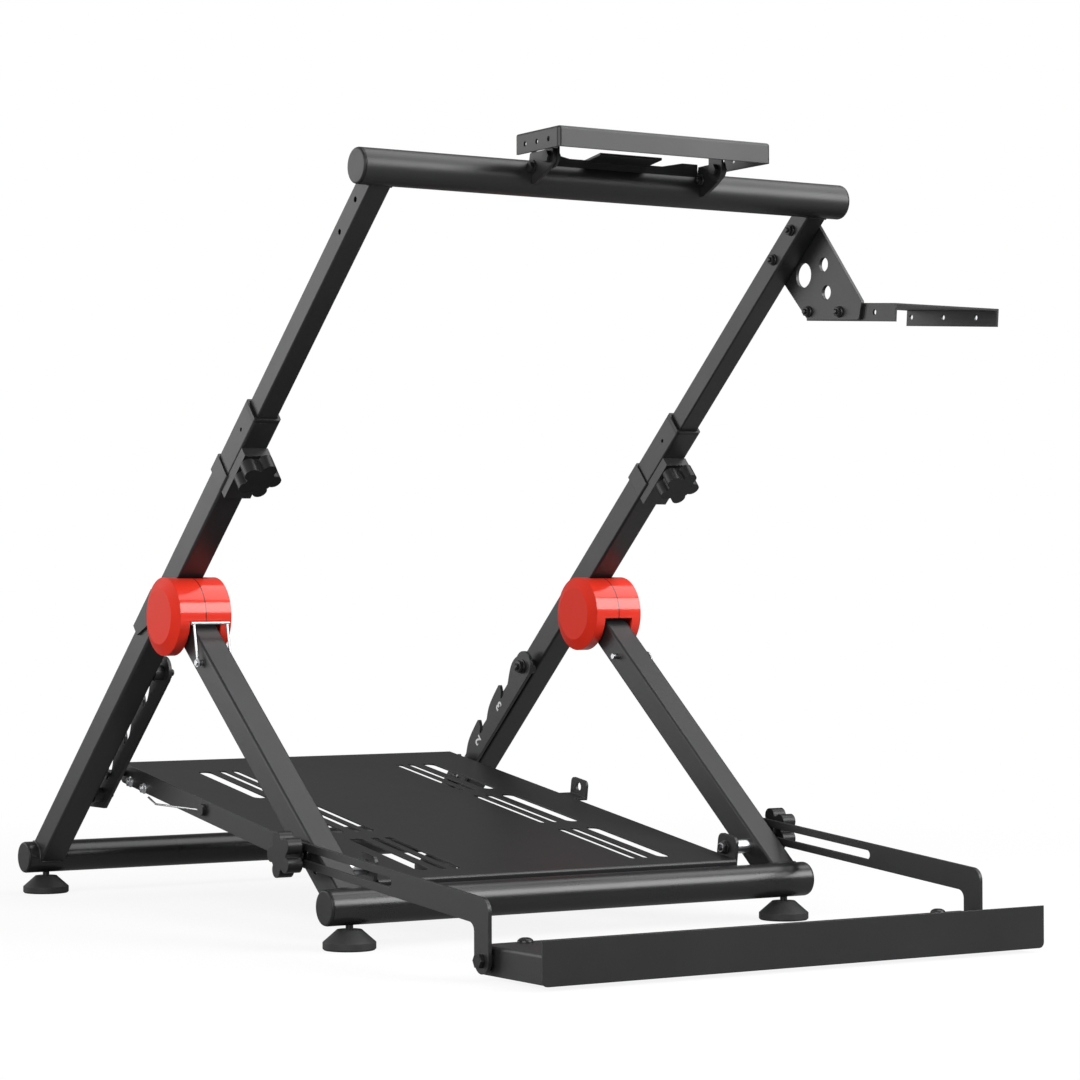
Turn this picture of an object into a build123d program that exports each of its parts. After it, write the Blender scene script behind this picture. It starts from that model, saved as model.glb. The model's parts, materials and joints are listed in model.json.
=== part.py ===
from build123d import *
import os
from math import atan2, cos, degrees, hypot, radians, sin, tan

os.makedirs("parts", exist_ok=True)

# Racing wheel stand, millimetres. +X to the right of the driver's view of the stand,
# +Y to the rear, +Z up; the origin lies on the floor midway between the four feet.

# Clearances
run = 0.05          # radial running fit of a pin in its hole
slip = 0.3          # gap between faces of pieces that move against each other
side_play = 0.6     # gap beside a leg that swings between two cheeks

# Round tubes: base tubes at the rear and front, crossbar at the top
tube_od = 38
tube_wall = 1.5
tube_length = 610
base_depth = 770    # rear tube axis to front tube axis
tube_height = 44.3  # axis above the floor
bar_y = -455
bar_height = 800.5
cap_dome = 3
cap_inset = 0.3
cap_plug = 12

# Feet
foot_inset = 27     # foot from the end of its tube
foot_r = 27.8
foot_rim = 8
foot_top_r = 13
foot_height = 21
stud_r = 4
stud_depth = 6

# Square tubes
leg_size = 32
leg_wall = 1.5
leg_corner = 3
leg_inset = 27.5    # leg axis from the end of the tubes
leg_top = 775       # upper end of the outer leg, along the leg from the rear tube axis
pin_hole_r = 2.25
pin_hole_drop = 26  # adjusting hole below the upper end
inner_size = 25
inner_wall = 1.5
inner_bottom = 590  # lower end of the inner tube, along the leg
bushing_lip = 5
bushing_depth = 45

# Folding hub
hub_along = 493     # foot of the hub on the leg axis
hub_offset = 44     # hub centre in front of the leg axis
hub_r = 44.3
hub_wide = 75
hub_wall = 3
hub_bevel_wide = 13
hub_bevel_deep = 6
bracket_sheet = 2.5
bracket_low = 407   # lower end of the bracket, along the leg
bracket_high = 470
bracket_r = 19
strap_low = 465     # strap across the front of the leg, inside the hub
strap_wide = 12
hub_pin_r = 6
hub_gap_front = 7   # angles at the ends of the closed quarter of the rim
hub_gap_top = 14

# Lock pin through each short leg
lock_along = 82     # from the hub centre down the short leg
lock_r = 3.2
lock_half = 20.5    # half of the wire loop's width
wire_r = 1.4
grip_r = 1.8        # sleeved cross run of the loop
loop_along = 47.6
loop_off = 28.6
ring_r = 11         # ring on the outer end of the right pin

# Clamp collar and star knobs
collar_low = 670
collar_wide = 23
collar_sheet = 2
boss_high = 737
boss_depth = 12
leg_knob_along = 722
knob_r = 25
knob_lobes = 5
lobe_r = 8.5
knob_thick = 17
knob_neck = 7
knob_neck_r = 11
screw_r = 4

# Pedal plate
plate_gap = 31.5    # beside the plate, to the legs
plate_sheet = 2
pivot_up = 57.5     # pivot on the short leg, from the front tube axis
plate_drop = 9.2    # top of the plate below its pivot
plate_front = -24
plate_tail = 4.2    # sheet beyond the rod
plate_lip = 10      # front edge turned down
plate_bend = 3
flange_depth = 24
flange_start = 20   # full depth of the flange from here, behind the pivot
ear_sheet = 4
ear_front = 20      # front ears before the pivot
ear_back = 15       # and behind it
ear_high = 14.6
ear_tail = 24
ear_corner = 8
pivot_r = 5
pivot_collar_r = 8
rod_r = 4
rod_drop = 20.9
rod_over = 2        # rod beyond the notched plates
slot_start = 8.5    # front end of the slots behind the pivot
slot_tail = 64.3    # rear end of the slots in front of the rod
slot_bridge = 32    # between slots in a row
slot_rows = 3
slot_narrow = 9.5
slot_wide = 17
slot_wide_in = 74   # wide slots from the edge of the plate
slot_mid_in = 98.5
slot_inner_in = 115.5
mid_ear_back = 276   # mid ear in front of the rod
mid_ear_long = 34
mid_ear_tall = 20
mid_ear_foot = 19
mid_ear_sheet = 3
mid_ear_corner = 6
mid_ear_hole_r = 5.25
mid_ear_hole_up = 10.5
flange_pin_back = 218.8  # pin in front of the rod
flange_pin_drop = 21
flange_pin_r = 3
flange_pin_head_r = 7
flange_pin_head = 4.8
hook_reach = 140
hook_drop = 18
hook_wire_r = 1.2

# Notched plates
notch_sheet = 4
notch_gap = 11.5     # between the plate and the leg
notch_pitch = 68
seat_along = 161.5  # rod in the lowest notch, along the leg
seat_off = -1.4     # and behind the leg axis
notch_head_up = 56  # bolt above the highest notch
notch_front = 23.6  # front edge in front of the seats
notch_back = 10.4   # rear edge behind the seats
notch_tail = 66     # lower end below the lowest seat
spacer_r = 9

# Wheel plate and its bracket on the crossbar
wheel_half = 133
wheel_ahead = 58    # front edge in front of the tilt bolts
wheel_behind = 23
wheel_rise = 23.9   # top above the tilt bolts
wheel_lip = 21.5
wheel_sheet = 2.5
wheel_hole_r = 2.6
wheel_hole_ahead = 16.5
wheel_hole_pitch = 22.5
wheel_hole_drop = 12
ear_inset = 28      # ears from the ends of the wheel plate
tilt_ahead = 50     # tilt bolts in front of the crossbar
tilt_rise = 17.1
tilt_r = 4
tilt_lug_r = 12
bracket_nose = 8
tilt_head_r = 6.5
tilt_head = 4
tilt_nut = 5
web_ahead = 11
web_low = 5         # edge of the web above the tilt bolts beside the tongue
web_high = 10       # and beside the ears
web_shoulder = 20
ear_top = 7
tongue_half = 39
tongue_reach = 31
tongue_rise = 4.5

# Shifter support on the right inner tube
gusset_sheet = 4
shelf_sheet = 2.5
gusset_head = 28    # upper corner below the crossbar axis, along the leg
gusset_foot = 117.5
gusset_back = 9       # rear edge behind the leg axis
gusset_reach = 126.5  # front corner in front of the leg axis
gusset_chin = 138
gusset_heel = 71.4
gusset_hole_r = 14
gusset_hole_down = 85
gusset_hole_out = 28.8
gusset_small_r = 8
gusset_small_down = (51.6, 69)
gusset_small_out = (46.9, 73.6)
leg_bolt_first = 45   # bolts of the gusset below the crossbar axis
leg_bolt_pitch = 45
shelf_down = 106.1    # rear bolt of the shelf in leg directions
shelf_out = 65.6
shelf_wide = 145
shelf_heel = 8        # shelf behind its rear bolt
shelf_long = 158
shelf_flange = 20
shelf_slope = 4.4
shelf_pitch = 57
shelf_hole_r = 3

# Chair stop
arm_knob_up = 82    # arm screw on the short leg, from the front tube axis
arm_gap = 5
arm_sheet = 4
arm_high = 26
arm_slope = 4.7
arm_slot = 10
arm_slot_front = 195
arm_tail = 26
arm_reach = 367.3     # arm screw to the bend, along the arm
arm_bend_r = 9
bar_pivot_height = 18.5
bar_pivot_r = 4
bar_head_r = 7.5
bar_head = 5
bar_washer_r = 9.5
tray_gap = 4.5        # between the tray and the arms
tray_behind = 9       # tray behind its pivot
tray_ahead = 107
tray_top = 33
tray_low = 4
tray_sheet = 2
tray_roll = 4
stop_high = 47
stop_corner = 6

# Derived places
rear_y = base_depth / 2
front_y = -base_depth / 2
foot_x = tube_length / 2 - foot_inset
leg_x = tube_length / 2 - leg_inset
inner_face = leg_x - leg_size / 2
notch_x = inner_face - notch_gap - notch_sheet
plate_half = inner_face - plate_gap
rod_half = notch_x + notch_sheet + rod_over
tube_r = tube_od / 2
leg_angle = degrees(atan2(bar_height - tube_height, rear_y - bar_y))
leg_cos = cos(radians(leg_angle))
leg_sin = sin(radians(leg_angle))
leg_total = hypot(bar_height - tube_height, rear_y - bar_y)
hub_y = rear_y - leg_cos * hub_along - leg_sin * hub_offset
hub_z = tube_height + leg_sin * hub_along - leg_cos * hub_offset
short_angle = degrees(atan2(hub_z - tube_height, hub_y - front_y))
short_cos = cos(radians(short_angle))
short_sin = sin(radians(short_angle))
short_length = hypot(hub_z - tube_height, hub_y - front_y)
pivot_y = front_y + pivot_up * short_cos
pivot_z = tube_height + pivot_up * short_sin
rod_y = rear_y - seat_along * leg_cos + seat_off * leg_sin
rod_z = tube_height + seat_along * leg_sin + seat_off * leg_cos
rod_reach = hypot(rod_y - pivot_y, rod_z - pivot_z)
rod_along = (rod_reach**2 - rod_drop**2) ** 0.5
plate_slope = degrees(atan2(rod_z - pivot_z, rod_y - pivot_y) + atan2(rod_drop, rod_along))
plate_cos = cos(radians(plate_slope))
plate_sin = sin(radians(plate_slope))
plate_rear = rod_along + plate_tail
slot_span = rod_along - slot_tail - slot_start
slot_length = (slot_span - (slot_rows - 1) * slot_bridge) / slot_rows
slot_pitch = slot_length + slot_bridge
slot_first = slot_start + slot_length / 2
mid_ear_along = rod_along - mid_ear_back
flange_pin_along = rod_along - flange_pin_back
tilt_y = bar_y - tilt_ahead
tilt_height = bar_height + tilt_rise
wheel_front = tilt_y - wheel_ahead
wheel_rear = tilt_y + wheel_behind
wheel_top = tilt_height + wheel_rise
ear_x = wheel_half - ear_inset
web_y = bar_y - web_ahead
arm_y = front_y + arm_knob_up * short_cos
arm_z = tube_height + arm_knob_up * short_sin
arm_x = leg_x + leg_size / 2 + arm_gap
arm_cos = cos(radians(arm_slope))
arm_sin = sin(radians(arm_slope))
bend_y = arm_y - arm_reach * arm_cos
bend_z = arm_z - arm_reach * arm_sin
tray_half = arm_x - tray_gap
tray_rear = bend_y + tray_behind
tray_front = bend_y - tray_ahead
stop_half = arm_x + arm_sheet
sides = (("left", -1), ("right", 1))


def across_leg(side, along, off=0):
    """Plane across a long leg: X to the right, Y out of its rear face, Z up along it."""
    y = rear_y - along * leg_cos + off * leg_sin
    z = tube_height + along * leg_sin + off * leg_cos
    return Plane(origin=(side * leg_x, y, z), x_dir=(1, 0, 0), z_dir=(0, -leg_cos, leg_sin))


def beside_leg(x):
    """Side plane of the long legs: X up along the leg, Y out of its rear face, normal to the left."""
    return Plane(origin=(x, rear_y, tube_height), x_dir=(0, -leg_cos, leg_sin), z_dir=(-1, 0, 0))


def across_short(side, along):
    """Plane across a short leg: X to the right, Y out of its front face, Z down along it."""
    y = hub_y - along * short_cos
    z = hub_z - along * short_sin
    return Plane(origin=(side * leg_x, y, z), x_dir=(1, 0, 0), z_dir=(0, -short_cos, -short_sin))


def beside_short(x):
    """Side plane of the short legs at the hub: X down along the leg, Y out of its front face."""
    return Plane(origin=(x, hub_y, hub_z), x_dir=(0, -short_cos, -short_sin), z_dir=(1, 0, 0))


def on_plate(x, along, up):
    """Plane of the pedal plate seen from above: X to the right, Y to the rear along the plate."""
    y = pivot_y + along * plate_cos - up * plate_sin
    z = pivot_z + along * plate_sin + up * plate_cos
    return Plane(origin=(x, y, z), x_dir=(1, 0, 0), z_dir=(0, -plate_sin, plate_cos))


def beside_plate(x):
    """Side plane of the pedal plate at its pivot: X to the rear along the plate, Y up."""
    return Plane(origin=(x, pivot_y, pivot_z), x_dir=(0, plate_cos, plate_sin), z_dir=(1, 0, 0))


def crosswise(x, y, z):
    """Plane with its normal to the right through a point, X to the rear, Y up."""
    return Plane(origin=(x, y, z), x_dir=(0, 1, 0), z_dir=(1, 0, 0))


# Rear and front base tubes and the crossbar
with BuildPart() as rear_tube:
    with BuildSketch(crosswise(0, rear_y, tube_height)):
        Circle(tube_r)
        Circle(tube_r - tube_wall, mode=Mode.SUBTRACT)
    extrude(amount=tube_length / 2, both=True)
    for side_name, side in sides:
        with BuildSketch(Plane((side * foot_x, rear_y, 0))):
            Circle(stud_r)
        extrude(amount=tube_height, mode=Mode.SUBTRACT)
rear_tube.part.label = "rear_tube"
export_step(rear_tube.part, "parts/rear_tube.step")

with BuildPart() as front_tube:
    with BuildSketch(crosswise(0, front_y, tube_height)):
        Circle(tube_r)
        Circle(tube_r - tube_wall, mode=Mode.SUBTRACT)
    extrude(amount=tube_length / 2, both=True)
    for side_name, side in sides:
        with BuildSketch(Plane((side * foot_x, front_y, 0))):
            Circle(stud_r)
        extrude(amount=tube_height, mode=Mode.SUBTRACT)
front_tube.part.label = "front_tube"
export_step(front_tube.part, "parts/front_tube.step")

with BuildPart() as crossbar:
    with BuildSketch(crosswise(0, bar_y, bar_height)):
        Circle(tube_r)
        Circle(tube_r - tube_wall, mode=Mode.SUBTRACT)
    extrude(amount=tube_length / 2, both=True)
crossbar.part.label = "crossbar"
export_step(crossbar.part, "parts/crossbar.step")

# End caps: a plug inside the tube and a rounded face outside it
cap_places = {
    "rear_end_caps": (rear_y, tube_height),
    "front_end_caps": (front_y, tube_height),
    "crossbar_caps": (bar_y, bar_height),
}
for cap_name, (cap_y, cap_z) in cap_places.items():
    with BuildPart() as caps:
        for side_name, side in sides:
            with BuildSketch(crosswise(side * tube_length / 2, cap_y, cap_z)):
                Circle(tube_r - cap_inset)
            extrude(amount=side * cap_dome)
        fillet(caps.faces().sort_by(Axis.X)[0].edges(), radius=cap_dome * 0.7)
        fillet(caps.faces().sort_by(Axis.X)[-1].edges(), radius=cap_dome * 0.7)
        for side_name, side in sides:
            with BuildSketch(crosswise(side * tube_length / 2, cap_y, cap_z)):
                Circle(tube_r - tube_wall)
            extrude(amount=-side * cap_plug)
    caps.part.label = cap_name
    export_step(caps.part, f"parts/{cap_name}.step")

# Feet: a low rim, a cone and a threaded stud up into the tube
for end_name, end_y in (("rear", rear_y), ("front", front_y)):
    with BuildPart() as feet:
        for side_name, side in sides:
            with BuildSketch(Plane((side * foot_x, end_y, 0), x_dir=(1, 0, 0), z_dir=(0, -1, 0))):
                with BuildLine():
                    Polyline(
                        (0, 0),
                        (foot_r - 1.5, 0),
                        (foot_r, 1.5),
                        (foot_r, foot_rim),
                        (foot_top_r, foot_height),
                        (0, foot_height),
                        close=True,
                    )
                make_face()
            revolve(axis=Axis((side * foot_x, end_y, 0), (0, 0, 1)))
        for side_name, side in sides:
            with BuildSketch(Plane((side * foot_x, end_y, foot_height - stud_depth))):
                Circle(stud_r)
            extrude(amount=stud_depth, mode=Mode.SUBTRACT)
    feet.part.label = f"{end_name}_feet"
    export_step(feet.part, f"parts/{end_name}_feet.step")

    with BuildPart() as studs:
        for side_name, side in sides:
            with BuildSketch(Plane((side * foot_x, end_y, foot_height - stud_depth))):
                Circle(stud_r)
            extrude(amount=tube_height - tube_r + tube_wall + stud_depth - foot_height + stud_depth)
    studs.part.label = f"{end_name}_foot_studs"
    export_step(studs.part, f"parts/{end_name}_foot_studs.step")

# Long legs, hub brackets, collars and the parts that belong to each side
for side_name, side in sides:
    with BuildPart() as long_leg:
        with BuildSketch(across_leg(side, 0)):
            RectangleRounded(leg_size, leg_size, leg_corner)
            Rectangle(leg_size - 2 * leg_wall, leg_size - 2 * leg_wall, mode=Mode.SUBTRACT)
        extrude(amount=leg_top)
        with BuildSketch(crosswise(side * leg_x, rear_y, tube_height)):
            Circle(tube_r)
        extrude(amount=leg_size, both=True, mode=Mode.SUBTRACT)
        with BuildSketch(beside_leg(side * leg_x)):
            with Locations((leg_top - pin_hole_drop, 0)):
                Circle(pin_hole_r)
        extrude(amount=leg_size, both=True, mode=Mode.SUBTRACT)
        knob_plane = across_leg(side, leg_knob_along)
        with BuildSketch(Plane(knob_plane.origin, x_dir=(1, 0, 0), z_dir=-knob_plane.y_dir)):
            Circle(screw_r + slip)
        extrude(amount=leg_size, mode=Mode.SUBTRACT)
    long_leg.part.label = f"long_leg_{side_name}"
    export_step(long_leg.part, f"parts/long_leg_{side_name}.step")

    bracket_half = leg_size / 2 + side_play
    with BuildPart() as hub_bracket:
        with BuildSketch(beside_leg(side * leg_x)):
            with BuildLine():
                Polyline(
                    (bracket_low, leg_size / 2 + bracket_sheet),
                    (bracket_high, leg_size / 2 + bracket_sheet),
                    (bracket_high + 8, -leg_size / 2),
                    (hub_along + bracket_r, -hub_offset),
                )
                ThreePointArc(
                    (hub_along + bracket_r, -hub_offset),
                    (hub_along, -hub_offset - bracket_r),
                    (hub_along - bracket_r, -hub_offset),
                )
                Polyline(
                    (hub_along - bracket_r, -hub_offset),
                    (hub_along - 30, -leg_size / 2),
                    (bracket_low, leg_size / 8),
                    (bracket_low, leg_size / 2 + bracket_sheet),
                )
            make_face()
        extrude(amount=bracket_half + bracket_sheet, both=True)
        with BuildSketch(across_leg(side, 0)):
            with Locations((0, -hub_offset)):
                Rectangle(2 * bracket_half, 2 * hub_offset + leg_size)
        extrude(amount=leg_total, mode=Mode.SUBTRACT)
        # the inner cheek stays inside the hub; a strap joins it to the outer one
        with BuildSketch(beside_leg(side * leg_x)):
            Rectangle(2 * leg_total, leg_total)
            with Locations((hub_along, -hub_offset)):
                Circle(hub_r - hub_wall - slip, mode=Mode.SUBTRACT)
        extrude(amount=side * leg_size, mode=Mode.SUBTRACT)
        with BuildSketch(across_leg(side, strap_low)):
            with Locations((0, -(leg_size + bracket_sheet) / 2)):
                Rectangle(2 * bracket_half + bracket_sheet, bracket_sheet)
        extrude(amount=strap_wide)
        with BuildSketch(crosswise(side * leg_x, hub_y, hub_z)):
            Circle(hub_pin_r)
        extrude(amount=hub_wide, both=True, mode=Mode.SUBTRACT)
    hub_bracket.part.label = f"hub_bracket_{side_name}"
    export_step(hub_bracket.part, f"parts/hub_bracket_{side_name}.step")

    slot_half = bracket_half + bracket_sheet + slip
    for half_name, half in (("outer", 1), ("inner", -1)):
        out = side * half
        seam = crosswise(side * leg_x, hub_y, hub_z)
        face = Plane(seam.origin, x_dir=(0, 1, 0), z_dir=(out, 0, 0))
        with BuildPart() as hub_cover:
            with BuildSketch(Plane(seam.origin, x_dir=(out, 0, 0), z_dir=(0, 0, 1))):
                with BuildLine():
                    Polyline(
                        (0, 0),
                        (0, hub_r),
                        (hub_wide / 2 - hub_bevel_deep, hub_r),
                        (hub_wide / 2, hub_r - hub_bevel_wide),
                        (hub_wide / 2, 0),
                        close=True,
                    )
                make_face()
            revolve(axis=Axis(seam.origin, (1, 0, 0)))
            with BuildSketch(face):
                Circle(hub_r - hub_wall)
            extrude(amount=hub_wide / 2 - hub_wall - hub_bevel_deep, mode=Mode.SUBTRACT)
            # opening for both legs: all of the rim but the quarter at the top front
            with BuildSketch(crosswise(side * leg_x, hub_y, hub_z)):
                with BuildLine():
                    Polyline(
                        (0, 0),
                        (-2 * hub_r, -2 * hub_r * tan(radians(hub_gap_front))),
                        (-2 * hub_r, -2 * hub_r),
                        (2 * hub_r, -2 * hub_r),
                        (2 * hub_r, 2 * hub_r),
                        (-2 * hub_r * tan(radians(hub_gap_top)), 2 * hub_r),
                        close=True,
                    )
                make_face()
            extrude(amount=slot_half, both=True, mode=Mode.SUBTRACT)
        hub_cover.part.label = f"hub_cover_{side_name}_{half_name}"
        export_step(hub_cover.part, f"parts/hub_cover_{side_name}_{half_name}.step")

    with BuildPart() as clamp_collar:
        with BuildSketch(across_leg(side, collar_low)):
            Rectangle(leg_size + 2 * collar_sheet, leg_size + 2 * collar_sheet)
        extrude(amount=collar_wide)
        corners = clamp_collar.edges().filter_by(lambda e: abs(e.length - collar_wide) < 0.01)
        fillet(corners, radius=leg_corner)
        with BuildSketch(across_leg(side, collar_low)):
            with Locations((0, -(leg_size + boss_depth) / 2)):
                Rectangle(leg_size, boss_depth)
        extrude(amount=boss_high - collar_low)
        with BuildSketch(across_leg(side, collar_low)):
            RectangleRounded(leg_size, leg_size, leg_corner)
        extrude(amount=leg_total, mode=Mode.SUBTRACT)
        with BuildSketch(Plane(knob_plane.origin, x_dir=(1, 0, 0), z_dir=-knob_plane.y_dir)):
            Circle(screw_r + run)
        extrude(amount=leg_size * 2, mode=Mode.SUBTRACT)
    clamp_collar.part.label = f"clamp_collar_{side_name}"
    export_step(clamp_collar.part, f"parts/clamp_collar_{side_name}.step")

    # Notched plate: a rounded head, then three hooked notches down its rear edge
    seats = [seat_along + step * notch_pitch for step in (2, 1, 0)]
    head = seats[0] + notch_head_up
    edge = seat_off - notch_front
    back = seat_off + notch_back
    tail = seats[2] - notch_tail
    level = leg_cos / leg_sin
    with BuildPart() as notched_plate:
        with BuildSketch(beside_leg(side * (notch_x + notch_sheet / 2))):
            with BuildLine():
                Line((tail - level * edge, edge), (head, edge))
                ThreePointArc(
                    (head, edge),
                    (head + (back - edge) * 0.6, (edge + back) / 2),
                    (head, back),
                )
                Spline(
                    (head, back),
                    (seats[0] + 25.8, seat_off + 5.8),
                    (seats[0] + 11.8, seat_off - 2.2),
                    (seats[0] + 4.3, seat_off - 4.7),
                )
                for seat in seats:
                    Polyline(
                        (seat + 4.3, seat_off - 4.7),
                        (seat - 8.7, seat_off - 4.2),
                        (seat - 9.6, seat_off - 2.9),
                        (seat - 3.3, seat_off + 3.0),
                        (seat - 0.7, seat_off + 9.4),
                    )
                    ThreePointArc(
                        (seat - 0.7, seat_off + 9.4),
                        (seat - 1.0, seat_off + 11.8),
                        (seat - 3.5, seat_off + 12.6),
                    )
                for seat, below in ((seats[0], seats[1]), (seats[1], seats[2])):
                    Spline(
                        (seat - 3.5, seat_off + 12.6),
                        (below + 46, seat_off + 10.8),
                        (below + 25.8, seat_off + 5.8),
                        (below + 11.8, seat_off - 2.2),
                        (below + 4.3, seat_off - 4.7),
                    )
                Polyline(
                    (seats[2] - 3.5, seat_off + 12.6),
                    (tail - level * back + 14, back),
                    (tail - level * back, back),
                    (tail - level * edge, edge),
                )
            make_face()
        extrude(amount=notch_sheet / 2, both=True)
    notched_plate.part.label = f"notched_plate_{side_name}"
    export_step(notched_plate.part, f"parts/notched_plate_{side_name}.step")

# Bushings that guide the inner tubes at the upper end of the outer legs
with BuildPart() as leg_bushings:
    for side_name, side in sides:
        with BuildSketch(across_leg(side, leg_top)):
            RectangleRounded(leg_size, leg_size, leg_corner)
        extrude(amount=bushing_lip)
        with BuildSketch(across_leg(side, leg_top - bushing_depth)):
            Rectangle(leg_size - 2 * leg_wall, leg_size - 2 * leg_wall)
        extrude(amount=bushing_depth)
    for side_name, side in sides:
        with BuildSketch(across_leg(side, 0)):
            Rectangle(inner_size + 2 * slip, inner_size + 2 * slip)
        extrude(amount=leg_total, mode=Mode.SUBTRACT)
        knob_plane = across_leg(side, leg_knob_along)
        with BuildSketch(Plane(knob_plane.origin, x_dir=(1, 0, 0), z_dir=-knob_plane.y_dir)):
            Circle(screw_r + 2)
        extrude(amount=leg_size * 2, mode=Mode.SUBTRACT)
        with BuildSketch(beside_leg(side * leg_x)):
            with Locations((leg_top - pin_hole_drop, 0)):
                Circle(pin_hole_r)
        extrude(amount=leg_size, both=True, mode=Mode.SUBTRACT)
leg_bushings.part.label = "leg_bushings"
export_step(leg_bushings.part, "parts/leg_bushings.step")

# Hub pivot pins
with BuildPart() as hub_pins:
    for side_name, side in sides:
        with BuildSketch(crosswise(side * leg_x, hub_y, hub_z)):
            Circle(hub_pin_r)
        extrude(amount=leg_size / 2 + side_play + bracket_sheet + 2, both=True)
hub_pins.part.label = "hub_pins"
export_step(hub_pins.part, "parts/hub_pins.step")

# Spacers between the notched plates and the long legs
with BuildPart() as notched_plate_spacers:
    for side_name, side in sides:
        spacer_plane = beside_leg(side * (notch_x + notch_sheet))
        spacer_amount = -side * (inner_face - notch_x - notch_sheet)
        with BuildSketch(spacer_plane):
            with Locations((head, (edge + back) / 2), (seats[2] - notch_tail / 2, (edge + back) / 2)):
                Circle(spacer_r)
        extrude(amount=spacer_amount)
notched_plate_spacers.part.label = "notched_plate_spacers"
export_step(notched_plate_spacers.part, "parts/notched_plate_spacers.step")

# Short legs with a rounded upper end in the hub, and their lock pins
for side_name, side in sides:
    with BuildPart() as short_leg:
        with BuildSketch(across_short(side, 0)):
            RectangleRounded(leg_size, leg_size, leg_corner)
            Rectangle(leg_size - 2 * leg_wall, leg_size - 2 * leg_wall, mode=Mode.SUBTRACT)
        extrude(amount=short_length)
        with BuildSketch(beside_short(side * leg_x)):
            Circle(leg_size / 2)
            Circle(leg_size / 2 - leg_wall, mode=Mode.SUBTRACT)
            with Locations((leg_size, 0)):
                Rectangle(2 * leg_size, 2 * leg_size, mode=Mode.SUBTRACT)
        extrude(amount=leg_size / 2, both=True)
        for cheek in (-1, 1):
            with BuildSketch(beside_short(side * leg_x + cheek * (leg_size - leg_wall) / 2)):
                Circle(leg_size / 2)
            extrude(amount=leg_wall / 2, both=True)
        with BuildSketch(crosswise(side * leg_x, hub_y, hub_z)):
            Circle(hub_pin_r + run)
        extrude(amount=leg_size, both=True, mode=Mode.SUBTRACT)
        with BuildSketch(crosswise(side * leg_x, front_y, tube_height)):
            Circle(tube_r)
        extrude(amount=leg_size, both=True, mode=Mode.SUBTRACT)
        with BuildSketch(beside_short(side * leg_x)):
            with Locations((lock_along, 0)):
                Circle(lock_r)
            with Locations((short_length - pivot_up, 0)):
                Circle(pivot_r)
        extrude(amount=leg_size, both=True, mode=Mode.SUBTRACT)
        with BuildSketch(crosswise(side * leg_x, arm_y, arm_z)):
            Circle(screw_r + slip)
        extrude(amount=side * leg_size, mode=Mode.SUBTRACT)
    short_leg.part.label = f"short_leg_{side_name}"
    export_step(short_leg.part, f"parts/short_leg_{side_name}.step")

    loop_y = hub_y - loop_along * short_cos - loop_off * short_sin
    loop_z = hub_z - loop_along * short_sin + loop_off * short_cos
    lock_y = hub_y - lock_along * short_cos
    lock_z = hub_z - lock_along * short_sin
    with BuildPart() as lock_pin:
        with BuildSketch(crosswise(side * leg_x, lock_y, lock_z)):
            Circle(lock_r)
        extrude(amount=lock_half + wire_r + 1.5, both=True)
        if side_name == "left":
            for end in (-1, 1):
                end_x = side * leg_x + end * lock_half
                with BuildSketch(Plane((end_x, lock_y, lock_z), z_dir=(0, loop_y - lock_y, loop_z - lock_z))):
                    Circle(wire_r)
                extrude(amount=hypot(loop_y - lock_y, loop_z - lock_z))
            with BuildSketch(crosswise(side * leg_x, loop_y, loop_z)):
                Circle(grip_r)
            extrude(amount=lock_half + 2 * wire_r, both=True)
        else:
            ring = across_short(side, lock_along + ring_r).origin
            with Locations(Plane((ring.X + lock_half, ring.Y, ring.Z), z_dir=(1, 0, 0))):
                Torus(ring_r, wire_r)
    lock_pin.part.label = f"lock_pin_{side_name}"
    export_step(lock_pin.part, f"parts/lock_pin_{side_name}.step")

# Pivot pins of the pedal plate, each with the bright collar beside the leg
with BuildPart() as pedal_pivot_pins:
    for side_name, side in sides:
        start = plate_half - plate_sheet - pivot_r
        with BuildSketch(crosswise(side * start, pivot_y, pivot_z)):
            Circle(pivot_r)
        extrude(amount=side * (inner_face + leg_size - leg_wall - start))
        collar_start = plate_half + ear_sheet + slip
        with BuildSketch(crosswise(side * collar_start, pivot_y, pivot_z)):
            Circle(pivot_collar_r)
        extrude(amount=side * (inner_face - collar_start))
pedal_pivot_pins.part.label = "pedal_pivot_pins"
export_step(pedal_pivot_pins.part, "parts/pedal_pivot_pins.step")

# Spacers between the short legs and the sliding arms
with BuildPart() as arm_spacers:
    for side_name, side in sides:
        with BuildSketch(crosswise(side * (leg_x + leg_size / 2), arm_y, arm_z)):
            Circle(arm_slot)
            Circle(screw_r + slip, mode=Mode.SUBTRACT)
        extrude(amount=side * (arm_gap - slip))
arm_spacers.part.label = "arm_spacers"
export_step(arm_spacers.part, "parts/arm_spacers.step")

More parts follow.
